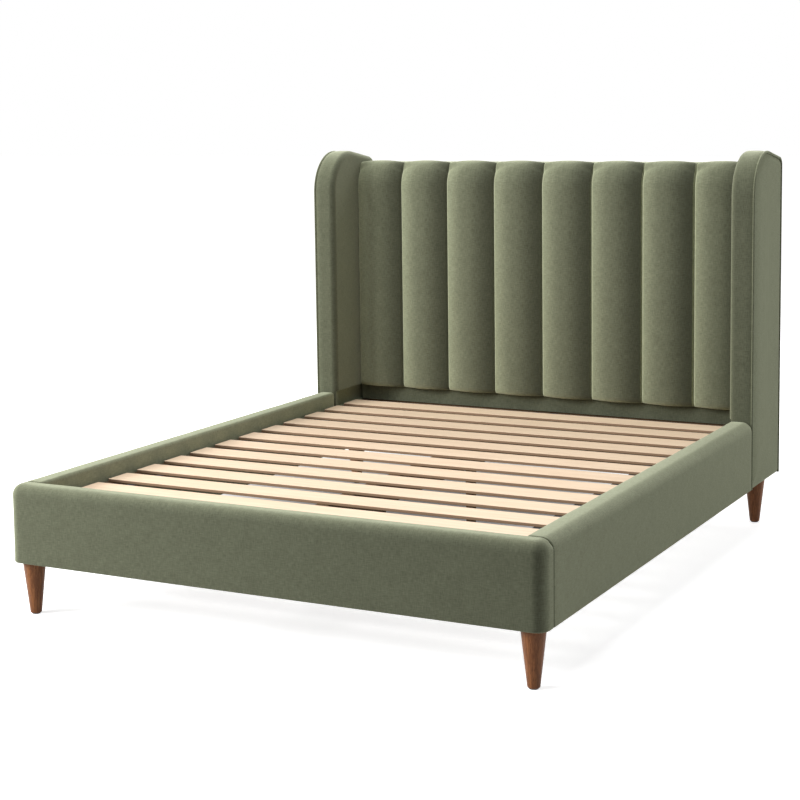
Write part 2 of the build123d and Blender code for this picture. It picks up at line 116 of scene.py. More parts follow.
# Places read from the CAD frame
rail_low, rail_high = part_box("side_rail_cover_right")
foot_low, foot_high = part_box("footboard_cover")
wing_low, wing_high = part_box("wing_pad_right")
panel_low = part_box("wing_side_panel_right")[0]
first_pad_low, first_pad_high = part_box("channel_pad_1")
strip_low, strip_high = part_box("headboard_lower_strip")
band_low, band_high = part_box("headboard_top_band")
back_low, back_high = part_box("headboard_back_panel")
half_width = foot_high.x
inner_half_width = rail_low.x
underside_z = rail_low.z
rail_top_z = rail_high.z
wing_front_y = wing_low.y
wing_back_y = wing_high.y
wing_face_x = wing_low.x
slat_underside_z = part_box("slat_01")[0].z
headboard_top_z = first_pad_high.z
channel_count = 8
channel_pitch = -2 * first_pad_low.x / channel_count
slat_count = 13
leg_names = ("leg_front_left", "leg_front_right", "leg_rear_left", "leg_rear_right")


# Mesh tools
def smoothstep(x):
    """0 below 0, 1 above 1, and 3x² - 2x³ between them."""
    x = np.clip(x, 0.0, 1.0)
    return x * x * (3 - 2 * x)


def relief(points, seed, length=relief_length):
    """A gentle height field over space: the mean of eight sines of the distance along random directions."""
    rng = np.random.default_rng(seed)
    directions = rng.normal(size=(8, 3))
    directions /= np.linalg.norm(directions, axis=1)[:, None]
    waves = 2 * np.pi / length * rng.uniform(0.6, 1.8, 8)
    phases = rng.uniform(0, 2 * np.pi, 8)
    return np.sin((points @ directions.T) * waves + phases).mean(axis=-1)


def grid_normals(points):
    """Unit normals of a grid of points: the cross product of its row and column differences."""
    rows = np.gradient(points, axis=0)
    columns = np.gradient(points, axis=1)
    normals = np.cross(columns, rows)
    return normals / np.maximum(np.linalg.norm(normals, axis=-1, keepdims=True), 1e-9)


def rounded_path(corners, radii, step, steps_round=10, counts=None):
    """A path through the corners, each replaced by the arc of its radius, with straight runs cut at the
    step or into the given counts of points.

    An arc starts at radius / tan(half the inner angle) before its corner and turns about the point that
    lies on the corner's bisector. Returns the points, and the unit normals to the left of the path.
    """
    corners = np.asarray(corners, float)
    points, tangents = [], []
    previous = corners[0]
    for index in range(1, len(corners) - 1):
        corner, radius = corners[index], radii[index - 1]
        before = corners[index - 1] - corner
        after = corners[index + 1] - corner
        before /= np.linalg.norm(before)
        after /= np.linalg.norm(after)
        half_angle = math.acos(np.clip(before @ after, -1, 1)) / 2
        reach = radius / math.tan(half_angle)
        start, end = corner + before * reach, corner + after * reach
        count = counts[index - 1] if counts else max(2, int(np.linalg.norm(start - previous) / step) + 1)
        share = np.linspace(0, 1, count)[:, None]
        points.append(previous + (start - previous) * share)
        tangents.append(np.repeat(-before[None], count, axis=0))
        bisector = (before + after) / np.linalg.norm(before + after)
        centre = corner + bisector * radius / math.sin(half_angle)
        turn = np.pi - 2 * half_angle
        side = np.sign(before[0] * after[1] - before[1] * after[0])
        angles = -side * turn * np.linspace(0, 1, steps_round + 1)[1:-1]
        cosines, sines = np.cos(angles)[:, None], np.sin(angles)[:, None]
        spoke = start - centre
        turned = spoke * cosines + np.array([-spoke[1], spoke[0]]) * sines
        points.append(centre + turned)
        heading = -before * cosines + np.array([before[1], -before[0]]) * sines
        tangents.append(heading)
        previous = end
    count = counts[-1] if counts else max(2, int(np.linalg.norm(corners[-1] - previous) / step) + 1)
    share = np.linspace(0, 1, count)[:, None]
    points.append(previous + (corners[-1] - previous) * share)
    last = corners[-1] - corners[-2]
    tangents.append(np.repeat(last[None] / np.linalg.norm(last), count, axis=0))
    points, tangents = np.concatenate(points), np.concatenate(tangents)
    normals = np.stack([-tangents[:, 1], tangents[:, 0]], axis=1)
    return points, normals


def arc_length(points, axis):
    """Distance run along one axis of a grid of points."""
    steps = np.linalg.norm(np.diff(points, axis=axis), axis=-1)
    start = np.zeros_like(np.take(steps, [0], axis=axis))
    return np.cumsum(np.concatenate([start, steps], axis=axis), axis=axis)


def patch(points, caps=(), fabric=None):
    """One sheet of a piece: its grid of points, the rows closed by a flat face, and its cloth lengths."""
    if fabric is None:
        fabric = np.stack([arc_length(points, 1), arc_length(points, 0)], axis=-1)
    return points, caps, fabric


def make_piece(name, patches, material, replaced=(), body="bed", sharp_angle=60):
    """Join patches into one closed mesh: their touching edges are merged, and the faces turned outwards."""
    vertices, loops, starts, totals, cloth = [], [], [], [], []
    offset = loop_count = 0
    for points, caps, fabric in patches:
        rows, columns = points.shape[:2]
        row = np.arange(rows - 1)[:, None] * columns
        column = np.arange(columns - 1)[None, :]
        first = row + column
        quads = np.stack([first, first + 1, first + columns + 1, first + columns], -1).reshape(-1, 4)
        flat_cloth = fabric.reshape(-1, 2)
        vertices.append(points.reshape(-1, 3))
        loops.append(quads.ravel() + offset)
        cloth.append(flat_cloth[quads.ravel()])
        starts.append(loop_count + 4 * np.arange(len(quads)))
        totals.append(np.full(len(quads), 4))
        loop_count += quads.size
        for cap in caps:
            rim = (np.arange(columns - 1) + (rows - 1) * columns * (cap < 0))[:: 1 if cap < 0 else -1]
            loops.append(rim + offset)
            cloth.append(points.reshape(-1, 3)[rim][:, :2])
            starts.append(np.array([loop_count]))
            totals.append(np.array([len(rim)]))
            loop_count += len(rim)
        offset += rows * columns
    vertices = np.concatenate(vertices)
    loops, starts, totals = np.concatenate(loops), np.concatenate(starts), np.concatenate(totals)
    mesh = bpy.data.meshes.new(name)
    mesh.vertices.add(len(vertices))
    mesh.vertices.foreach_set("co", vertices.astype(np.float32).ravel())
    mesh.loops.add(len(loops))
    mesh.loops.foreach_set("vertex_index", loops.astype(np.int32))
    mesh.polygons.add(len(starts))
    mesh.polygons.foreach_set("loop_start", starts.astype(np.int32))
    mesh.polygons.foreach_set("loop_total", totals.astype(np.int32))
    mesh.update(calc_edges=True)
    layer = mesh.uv_layers.new(name="cloth")
    layer.data.foreach_set("uv", np.concatenate(cloth).astype(np.float32).ravel())
    close_mesh(mesh)
    mesh.polygons.foreach_set("use_smooth", np.ones(len(mesh.polygons), bool))
    mesh.set_sharp_from_angle(angle=math.radians(sharp_angle))
    mesh.materials.append(material)
    piece = bpy.data.objects.new(name, mesh)
    bpy.context.scene.collection.objects.link(piece)
    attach(piece, body)
    if replaced:
        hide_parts(*replaced)
    return piece


def close_mesh(mesh):
    """Merge the points that lie together, drop faces with no area and turn all faces outwards."""
    work = bmesh.new()
    work.from_mesh(mesh)
    bmesh.ops.remove_doubles(work, verts=work.verts, dist=2e-5)
    bmesh.ops.dissolve_degenerate(work, edges=work.edges, dist=1e-6)
    bmesh.ops.recalc_face_normals(work, faces=work.faces)
    work.to_mesh(mesh)
    work.free()


def mirrored(points, side):
    """The grid as it is on the right side, 1, or mirrored to the left side, -1."""
    return points * np.array([side, 1.0, 1.0])


def axis_spans(low, high, radius, step, turns=5):
    """Rounded, straight and rounded parts along one axis: the normal's slope, and the place of its core."""
    tilt = np.linspace(-1, 0, turns + 1)
    count = max(2, int((high - low - 2 * radius) / step) + 1)
    core = np.linspace(low + radius, high - radius, count)
    tilts = np.concatenate([tilt[:-1], np.zeros(count), -tilt[::-1][1:]])
    cores = np.concatenate([np.full(turns, core[0]), core, np.full(turns, core[-1])])
    return np.tan(tilts * np.pi / 4), cores


def rounded_block(low, high, radius, step=0.04):
    """Six sheets of a block with all edges rounded: each point is a core point plus the radius along a
    normal that tilts up to 45 degrees towards each neighbouring side."""
    low, high = np.array(low, float), np.array(high, float)
    spans = [axis_spans(low[k], high[k], radius, step) for k in range(3)]
    sheets = []
    for axis in range(3):
        first, second = (axis + 1) % 3, (axis + 2) % 3
        for side in (-1, 1):
            tilt_1, tilt_2 = np.meshgrid(spans[first][0], spans[second][0], indexing="ij")
            core_1, core_2 = np.meshgrid(spans[first][1], spans[second][1], indexing="ij")
            normal = np.zeros(tilt_1.shape + (3,))
            normal[..., axis], normal[..., first], normal[..., second] = side, tilt_1, tilt_2
            normal /= np.linalg.norm(normal, axis=-1, keepdims=True)
            core = np.zeros_like(normal)
            core[..., axis] = high[axis] - radius if side > 0 else low[axis] + radius
            core[..., first], core[..., second] = core_1, core_2
            sheets.append(core + radius * normal)
    return sheets


# Node tools
def new_material(name):
    """An empty node material with its output and a Principled BSDF wired up."""
    material = bpy.data.materials.new(name)
    material.use_nodes = True
    tree = material.node_tree
    return material, tree, tree.nodes["Principled BSDF"]


def add(tree, kind, links=(), **values):
    """Add a node, set its properties and sockets, and link the named inputs from other sockets."""
    made = tree.nodes.new(kind)
    for key, value in values.items():
        if hasattr(made, key):
            setattr(made, key, value)
        else:
            made.inputs[key.replace("_", " ")].default_value = value
    for key, source in dict(links).items():
        tree.links.new(source, made.inputs[key])
    return made


def maths(tree, operation, first, second=None, third=None, clamp=False):
    """A Math node on up to three sockets or numbers, and its result."""
    made = tree.nodes.new("ShaderNodeMath")
    made.operation = operation
    made.use_clamp = clamp
    for index, value in enumerate((first, second, third)):
        if value is None:
            continue
        if isinstance(value, (int, float)):
            made.inputs[index].default_value = value
        else:
            tree.links.new(value, made.inputs[index])
    return made.outputs[0]


def ramp(tree, value, span, result=(0.0, 1.0), smooth=False):
    """Carry a value from its span to the result's span, straight or eased at both ends."""
    made = add(tree, "ShaderNodeMapRange", {"Value": value})
    made.interpolation_type = "SMOOTHSTEP" if smooth else "LINEAR"
    for key, number in zip(("From Min", "From Max", "To Min", "To Max"), (*span, *result)):
        made.inputs[key].default_value = number
    return made.outputs[0]


def mix_colours(tree, factor, first, second):
    """A colour Mix node between two colours or sockets."""
    made = tree.nodes.new("ShaderNodeMix")
    made.data_type = "RGBA"
    tree.links.new(factor, made.inputs["Factor"])
    for key, value in (("A", first), ("B", second)):
        socket = next(s for s in made.inputs if s.name == key and s.type == "RGBA")
        if isinstance(value, tuple):
            socket.default_value = (*value, 1.0)
        else:
            tree.links.new(value, socket)
    return next(s for s in made.outputs if s.type == "RGBA")


def noise(tree, place, scale, detail):
    """A noise texture over a place, whose scale is a number or a socket."""
    made = add(tree, "ShaderNodeTexNoise", {"Vector": place}, Detail=detail)
    if isinstance(scale, float):
        made.inputs["Scale"].default_value = scale
    else:
        tree.links.new(scale, made.inputs["Scale"])
    return made.outputs


def stretched(tree, place, scale):
    """A place with each of its axes scaled."""
    return add(tree, "ShaderNodeMapping", {"Vector": place}, Scale=scale).outputs[0]


def new_group(name, inputs, outputs):
    """An empty node group with these inputs, as (name, kind, default), and float outputs."""
    group = bpy.data.node_groups.new(name, "ShaderNodeTree")
    for label, kind, default in inputs:
        made = group.interface.new_socket(label, in_out="INPUT", socket_type=kind)
        if default is not None:
            made.default_value = default
    for label in outputs:
        group.interface.new_socket(label, in_out="OUTPUT", socket_type="NodeSocketFloat")
    entry, result = group.nodes.new("NodeGroupInput"), group.nodes.new("NodeGroupOutput")
    return group, entry.outputs, result.inputs


def use_group(tree, group, links=(), **values):
    """Place a group in a material, with its own values."""
    made = tree.nodes.new("ShaderNodeGroup")
    made.node_tree = group
    for key, value in values.items():
        made.inputs[key].default_value = value
    for key, source in dict(links).items():
        tree.links.new(source, made.inputs[key])
    return made.outputs


def weave_group():
    """Plain weave: the product of two sines across warp and weft, with slubs from stretched noise."""
    group, given, result = new_group(
        "plain weave",
        [("Place", "NodeSocketVector", None), ("Thread", "NodeSocketFloat", 0.002)],
        ("Height", "Slub"),
    )
    drifted = {0: noise(group, given["Place"], 45.0, 2.0)["Color"], 2: given["Place"]}
    bent = add(group, "ShaderNodeVectorMath", drifted, operation="MULTIPLY_ADD")
    bent.inputs[1].default_value = (0.0012, 0.0012, 0.0)
    parts = add(group, "ShaderNodeSeparateXYZ", {0: bent.outputs[0]})
    rate = maths(group, "DIVIDE", math.pi, given["Thread"])
    warp = maths(group, "SINE", maths(group, "MULTIPLY", parts.outputs[0], rate))
    weft = maths(group, "SINE", maths(group, "MULTIPLY", parts.outputs[1], rate))
    crossing = maths(group, "MULTIPLY", warp, weft)
    group.links.new(maths(group, "MULTIPLY_ADD", crossing, 0.5, 0.5), result["Height"])
    slub_1 = noise(group, stretched(group, given["Place"], (52.0, 360.0, 1.0)), 1.0, 2.0)
    slub_2 = noise(group, stretched(group, given["Place"], (360.0, 52.0, 1.0)), 1.0, 2.0)
    both = maths(group, "ADD", slub_1["Fac"], slub_2["Fac"])
    group.links.new(maths(group, "MULTIPLY", both, 0.5), result["Slub"])
    return group


def mottle_group():
    """Soft cloudy patches: a large and a small noise, added."""
    group, given, result = new_group(
        "mottle",
        [("Place", "NodeSocketVector", None), ("Size", "NodeSocketFloat", 0.05)],
        ("Value",),
    )
    scale = maths(group, "DIVIDE", 1.0, given["Size"])
    large = noise(group, given["Place"], scale, 3.0)["Fac"]
    small = noise(group, given["Place"], maths(group, "MULTIPLY", scale, 4.3), 4.0)["Fac"]
    small_part = maths(group, "MULTIPLY", small, 0.4)
    group.links.new(maths(group, "MULTIPLY_ADD", large, 0.6, small_part), result["Value"])
    return group


def grain_group():
    """Timber grain along X: stretched noise bands, fine fibre streaks and dark pores."""
    group, given, result = new_group(
        "wood grain",
        [("Place", "NodeSocketVector", None), ("Band", "NodeSocketFloat", 0.02)],
        ("Rings", "Fibre", "Pore"),
    )
    rate = maths(group, "DIVIDE", 1.0, given["Band"])
    wander = noise(group, stretched(group, given["Place"], (0.06, 1.0, 1.0)), rate, 3.0)["Fac"]
    turns = maths(group, "MULTIPLY", wander, 22.0)
    rings = maths(group, "MULTIPLY_ADD", maths(group, "SINE", turns), 0.5, 0.5)
    group.links.new(rings, result["Rings"])
    streak = stretched(group, given["Place"], (0.03, 1.0, 1.0))
    group.links.new(noise(group, streak, 900.0, 3.0)["Fac"], result["Fibre"])
    pore = noise(group, streak, 420.0, 1.0)["Fac"]
    group.links.new(maths(group, "GREATER_THAN", pore, 0.66), result["Pore"])
    return group


weave, mottle, grain = weave_group(), mottle_group(), grain_group()


def set_finish(shader, **values):
    """Set constants on the shader's own sockets."""
    for key, value in values.items():
        shader.inputs[key.replace("_", " ")].default_value = value


def raise_bump(tree, shader, height, strength, distance, links=()):
    """Raise the surface by a height, and use the result as the shader's normal."""
    links = {"Height": height, **dict(links)}
    bump = add(tree, "ShaderNodeBump", links, Strength=strength, Distance=distance)
    tree.links.new(bump.outputs[0], shader.inputs["Normal"])


def vary_roughness(tree, shader, marks, gain, base):
    """Roughness that follows the marks: their value times the gain, plus the base."""
    tree.links.new(maths(tree, "MULTIPLY_ADD", marks, gain, base), shader.inputs["Roughness"])


def toned(colour, gain):
    """A colour made lighter or darker by one factor."""
    return tuple(gain * part for part in colour)


def upholstery_cloth(name, light, dark, channelled=False, winged=False):
    """Short-pile cloth: two greens mixed by cloudy patches and slubs, a weave bump, and a soft sheen.

    The pile leans to the right, so the shading normal is the surface's own plus a part of the X axis, and
    the base colour gets brighter towards its outline: a painted sheen. On the channels the base colour also
    follows the place across each pad: lighter on its left flank, a painted highlight, and darker on its
    right one, painted shade, with the whole pad brightened by a painted gain. On the wings the inner face
    is
    darker: painted shade.
    """
    material, tree, shader = new_material(name)
    place = add(tree, "ShaderNodeTexCoord").outputs
    patches = use_group(tree, mottle, {"Place": place["Object"]}, Size=0.045)["Value"]
    threads = use_group(tree, weave, {"Place": place["UV"]}, Thread=0.0026)
    blend = maths(tree, "MULTIPLY_ADD", patches, patch_gain, blend_base)
    factor = maths(tree, "MULTIPLY_ADD", threads["Slub"], slub_gain, blend, clamp=True)
    pile = mix_colours(tree, factor, dark, light)
    normal = add(tree, "ShaderNodeNewGeometry").outputs["Normal"]
    leaning = add(tree, "ShaderNodeVectorMath", {0: normal}, operation="ADD")
    leaning.inputs[1].default_value = (nap_lean, 0.0, 0.0)
    lean = add(tree, "ShaderNodeVectorMath", {0: leaning.outputs[0]}, operation="NORMALIZE").outputs[0]
    height = maths(tree, "MULTIPLY_ADD", threads["Height"], 0.35, threads["Slub"])
    raise_bump(tree, shader, height, 0.28, 0.0008, {"Normal": lean})
    # Painted sheen: the base colour gets brighter where the surface is seen at a low angle
    facing = add(tree, "ShaderNodeLayerWeight", {"Normal": lean}, Blend=0.5).outputs["Facing"]
    painted_light_gain = maths(tree, "MULTIPLY_ADD", facing, painted_sheen_gain, painted_sheen_base)
    # Painted highlight on each pad's left flank, painted shade on its right one, and a painted brightening
    # of the pads
    if channelled:
        across = add(tree, "ShaderNodeSeparateXYZ", {0: place["Object"]}).outputs[0]
        from_first = maths(tree, "SUBTRACT", across, first_pad_low.x)
        share = maths(tree, "FRACT", maths(tree, "DIVIDE", from_first, channel_pitch))
        right = ramp(tree, share, (0.5, 1.0), (0.0, right_flank_painted_shade), smooth=True)
        left = ramp(tree, share, (0.0, 0.4), (left_flank_painted_highlight, 0.0), smooth=True)
        pad_painted_light = maths(tree, "ADD", maths(tree, "ADD", right, left), pad_painted_brightening)
        painted_light_gain = maths(tree, "MULTIPLY", painted_light_gain, pad_painted_light)
    # Painted shade: the wings' inner faces are darker
    if winged:
        across = add(tree, "ShaderNodeSeparateXYZ", {0: place["Object"]}).outputs[0]
        roll = (wing_face_x, wing_face_x + wing_inner_roll)
        inner = ramp(tree, maths(tree, "ABSOLUTE", across), roll, (wing_inner_painted_shade, 1.0))
        painted_light_gain = maths(tree, "MULTIPLY", painted_light_gain, inner)
    tone = add(tree, "ShaderNodeVectorMath", {0: pile, "Scale": painted_light_gain}, operation="SCALE")
    tree.links.new(tone.outputs[0], shader.inputs["Base Color"])
    vary_roughness(tree, shader, patches, 0.12, 0.78)
    set_finish(
        shader,
        Specular_IOR_Level=0.12,
        Sheen_Weight=0.6,
        Sheen_Roughness=0.5,
        Sheen_Tint=(0.96, 1.0, 0.76, 1.0),
    )
    return material


def timber(
    name, light, dark, band=0.03, roughness=0.6, pore_depth=0.25, upright=False, coat=0.0, painted_side_shade=False
):
    """Planed timber: rings and fibres mix two tones, pores darken it, and the fibres raise a fine bump.

    With painted side shade, every face that doesn't point up takes a darker, browner tone: painted shade
    for the light that falls from above.
    """
    material, tree, shader = new_material(name)
    place = add(tree, "ShaderNodeTexCoord").outputs["Object"]
    if upright:
        turned = add(tree, "ShaderNodeMapping", {"Vector": place})
        turned.inputs["Rotation"].default_value = (0.0, math.pi / 2, 0.0)
        place = turned.outputs[0]
    marks = use_group(tree, grain, {"Place": place}, Band=band)
    tone = maths(tree, "MULTIPLY_ADD", marks["Fibre"], 0.9, maths(tree, "MULTIPLY", marks["Rings"], 0.4))
    wood = mix_colours(tree, maths(tree, "SUBTRACT", tone, 0.2, clamp=True), dark, light)
    wood = mix_colours(tree, maths(tree, "MULTIPLY", marks["Pore"], pore_depth), wood, toned(dark, 0.45))
    if painted_side_shade:
        # Painted shade: faces that don't point up take a darker, browner tone
        normal = add(tree, "ShaderNodeNewGeometry").outputs["True Normal"]
        upward = add(tree, "ShaderNodeSeparateXYZ", {0: normal}).outputs[2]
        edge = tuple(part * share for part, share in zip(dark, (0.34, 0.29, 0.25)))
        wood = mix_colours(tree, ramp(tree, upward, (0.2, 0.9), smooth=True), edge, wood)
    tree.links.new(wood, shader.inputs["Base Color"])
    raise_bump(tree, shader, marks["Fibre"], 0.2, 0.0004)
    vary_roughness(tree, shader, marks["Fibre"], 0.15, roughness - 0.08)
    set_finish(shader, Specular_IOR_Level=0.12, Coat_Weight=coat, Coat_Roughness=0.3)
    return material


def dark_finish(name, colour, lighter, patch_size, grain_scale, bump, rough, metallic=0.0):
    """Powder coat or moulded plastic: cloudy changes of tone and gloss, and a finely grained bump."""
    material, tree, shader = new_material(name)
    place = add(tree, "ShaderNodeTexCoord").outputs["Object"]
    patches = use_group(tree, mottle, {"Place": place}, Size=patch_size)["Value"]
    tone = mix_colours(tree, patches, colour, toned(colour, lighter))
    tree.links.new(tone, shader.inputs["Base Color"])
    raise_bump(tree, shader, noise(tree, place, grain_scale, 2.0)["Fac"], *bump)
    vary_roughness(tree, shader, patches, *rough)
    set_finish(shader, Metallic=metallic)
    return material


def woven_tape(name, colour):
    """Flat black webbing with a coarse weave."""
    material, tree, shader = new_material(name)
    place = add(tree, "ShaderNodeTexCoord").outputs["Object"]
    threads = use_group(tree, weave, {"Place": place}, Thread=0.0018)
    factor = maths(tree, "ADD", threads["Height"], 0.5, clamp=True)
    tone = mix_colours(tree, factor, colour, toned(colour, 2.2))
    tree.links.new(tone, shader.inputs["Base Color"])
    raise_bump(tree, shader, threads["Height"], 0.5, 0.0006)
    set_finish(shader, Roughness=0.75)
    return material


cloth_light, cloth_dark = (0.166, 0.178, 0.116), (0.094, 0.101, 0.063)
green_cloth = upholstery_cloth("green_cloth", cloth_light, cloth_dark)
# The channels and the wings carry painted light and shade in their base colour
channel_cloth = upholstery_cloth("channel_cloth", cloth_light, cloth_dark, channelled=True)
wing_cloth = upholstery_cloth("wing_cloth", cloth_light, cloth_dark, winged=True)
slat_timber = timber("slat_timber", (0.86, 0.68, 0.505), (0.76, 0.575, 0.41), painted_side_shade=True)
leg_timber = timber(
    "leg_timber",
    (0.34, 0.135, 0.048),
    (0.120, 0.040, 0.013),
    band=0.012,
    roughness=0.42,
    pore_depth=0.5,
    upright=True,
    coat=0.15,
)
# The frame timber is very dark: painted shade, so that the frame seen between the slats reads as the shadow
# under them
frame_timber = timber("frame_timber", (0.150, 0.098, 0.058), (0.085, 0.052, 0.030), roughness=0.75)
black_steel = dark_finish(
    "black_steel",
    (0.022, 0.022, 0.023),
    lighter=1.7,
    patch_size=0.03,
    grain_scale=1400.0,
    bump=(0.25, 0.0003),
    rough=(0.25, 0.35),
    metallic=0.35,
)
black_plastic = dark_finish(
    "black_plastic",
    (0.02, 0.02, 0.021),
    lighter=1.5,
    patch_size=0.01,
    grain_scale=2600.0,
    bump=(0.2, 0.0002),
    rough=(0.2, 0.4),
)
black_tape = woven_tape("black_tape", (0.014, 0.014, 0.015))


def soft_piece(name, sheets, replaced, material=green_cloth):
    """Sheets of cloth joined into one upholstered piece that stands for the named nodes."""
    return make_piece(name, sheets, material, replaced)


# Headboard channels
def channel_section():
    """Depth below the crest and place across a pad, as shares of half its width, for one closed section.

    The front is the parabola depth = crown * x², and past the edge share a quarter ellipse is added to it.
    Behind it the pad is a little narrower, which leaves a dark slot between neighbours, and a flat back
    closes it.
    """
    turn = np.linspace(0, np.pi / 2, 12)
    edge_place = pad_edge_share + (1 - pad_edge_share) * np.sin(turn)
    edge_depth = pad_edge * (1 - np.cos(turn))
    middle = np.linspace(-pad_edge_share, pad_edge_share, 35)[1:-1]
    across = np.concatenate([-edge_place[::-1], middle, edge_place])
    depth = np.concatenate([edge_depth[::-1], 0 * middle, edge_depth]) + pad_crown * across**2
    wall = np.linspace(pad_shoulder, pad_thickness, 5)[1:]
    back = np.linspace(pad_wall_share, -pad_wall_share, 9)[1:-1]
    wall_place = np.full(len(wall), pad_wall_share)
    across = np.concatenate([across, wall_place, back, -wall_place, across[:1]])
    depth = np.concatenate([depth, wall, np.full(len(back), pad_thickness), wall[::-1], depth[:1]])
    return across, depth


def channel_pad(number):
    """A crowned pad that rolls under at its foot and back over its top.

    Each point lies between a front path and a back path in the upright plane, at its share of the depth.
    The front path ends in a quarter circle below and a quarter ellipse above, over which the grooves get
    shallow.
    """
    low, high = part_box(f"channel_pad_{number}")
    middle_x, half = (low.x + high.x) / 2, (high.x - low.x) / 2
    foot = np.linspace(0, np.pi / 2, 8)
    roll = np.linspace(0, np.pi / 2, 26)
    roll_back, roll_down = pad_top_roll
    run_z = np.linspace(low.z + pad_foot_roll, high.z - roll_down, 56)[1:-1]
    front_y = np.concatenate(
        [
            low.y + pad_foot_roll * (1 - np.sin(foot)),
            np.full(len(run_z), low.y),
            low.y + roll_back * (1 - np.cos(roll)),
            [high.y],
        ]
    )
    front_z = np.concatenate(
        [
            low.z + pad_foot_roll * (1 - np.cos(foot)),
            run_z,
            high.z - roll_down * (1 - np.sin(roll)),
            [high.z],
        ]
    )
    turn = np.concatenate([np.zeros(len(foot) + len(run_z)), roll, [np.pi / 2]])
    back_y = low.y + pad_thickness + 0 * front_y
    back_z = front_z - pad_thickness * np.sin(turn)
    across, depth = channel_section()
    fading = smoothstep((turn - groove_fade_start) / groove_fade_run)[:, None] * (1 - pad_top_groove)
    share = (depth - np.minimum(depth, pad_shoulder) * fading) / pad_thickness
    points = np.empty(share.shape + (3,))
    points[..., 0] = middle_x + half * across
    points[..., 1] = front_y[:, None] * (1 - share) + back_y[:, None] * share
    points[..., 2] = front_z[:, None] * (1 - share) + back_z[:, None] * share
    fabric = np.stack([arc_length(points, 1), arc_length(points, 0)[:, :1] + 0 * points[..., 0]], axis=-1)
    height = relief_height * relief(points, number)
    points[..., 1] += height * (1 - share) * (depth < pad_shoulder)
    sheet = patch(points, caps=(0, -1), fabric=fabric)
    return soft_piece(f"channel_{number}", [sheet], (f"channel_pad_{number}",), channel_cloth)


# Side rails
def side_rail(side, name):
    """A rounded section carried along the rail, and drawn in along its normals by a quarter circle at each
    end."""
    outline, normals = rounded_path(
        [
            ((rail_low.x + rail_high.x) / 2, underside_z),
            (rail_high.x, underside_z),
            (rail_high.x, rail_top_z),
            (rail_low.x, rail_top_z),
            (rail_low.x, underside_z),
            ((rail_low.x + rail_high.x) / 2, underside_z),
        ],
        [rail_foot_roll, rail_top_roll, rail_inner_roll, rail_foot_roll],
        step=0.02,
        steps_round=9,
    )
    turn = np.linspace(0, np.pi / 2, 7)
    drawn, run_out = 1 - np.sin(turn), 1 - np.cos(turn)
    run = np.linspace(rail_low.y + rail_end_roll, rail_high.y - rail_head_roll, 70)[1:-1]
    insets = np.concatenate([rail_end_roll * drawn, np.zeros(len(run)), rail_head_roll * drawn[::-1]])
    places = [rail_low.y + rail_end_roll * run_out, run, rail_high.y - rail_head_roll * run_out[::-1]]
    section = outline + normals * insets[:, None, None]
    points = np.empty(section.shape[:2] + (3,))
    points[..., 0], points[..., 2] = section[..., 0], section[..., 1]
    points[..., 1] = np.concatenate(places)[:, None]
    points = mirrored(points, side)
    fabric = np.stack([arc_length(points, 1), arc_length(points, 0)], axis=-1)
    inward = np.stack([normals[:, 0] * side, 0 * normals[:, 0], normals[:, 1]], axis=1)
    inward = inward / np.linalg.norm(inward, axis=1)[:, None]
    above = smoothstep((points[..., 2] - underside_z) / relief_fade)
    wave = relief_height * (1 + relief(points, rail_seed + side)) * above
    points += inward[None] * wave[..., None]
    sheet = patch(points, caps=(0, -1), fabric=fabric)
    return soft_piece(f"rail_{name}", [sheet], (f"side_rail_cover_{name}",))


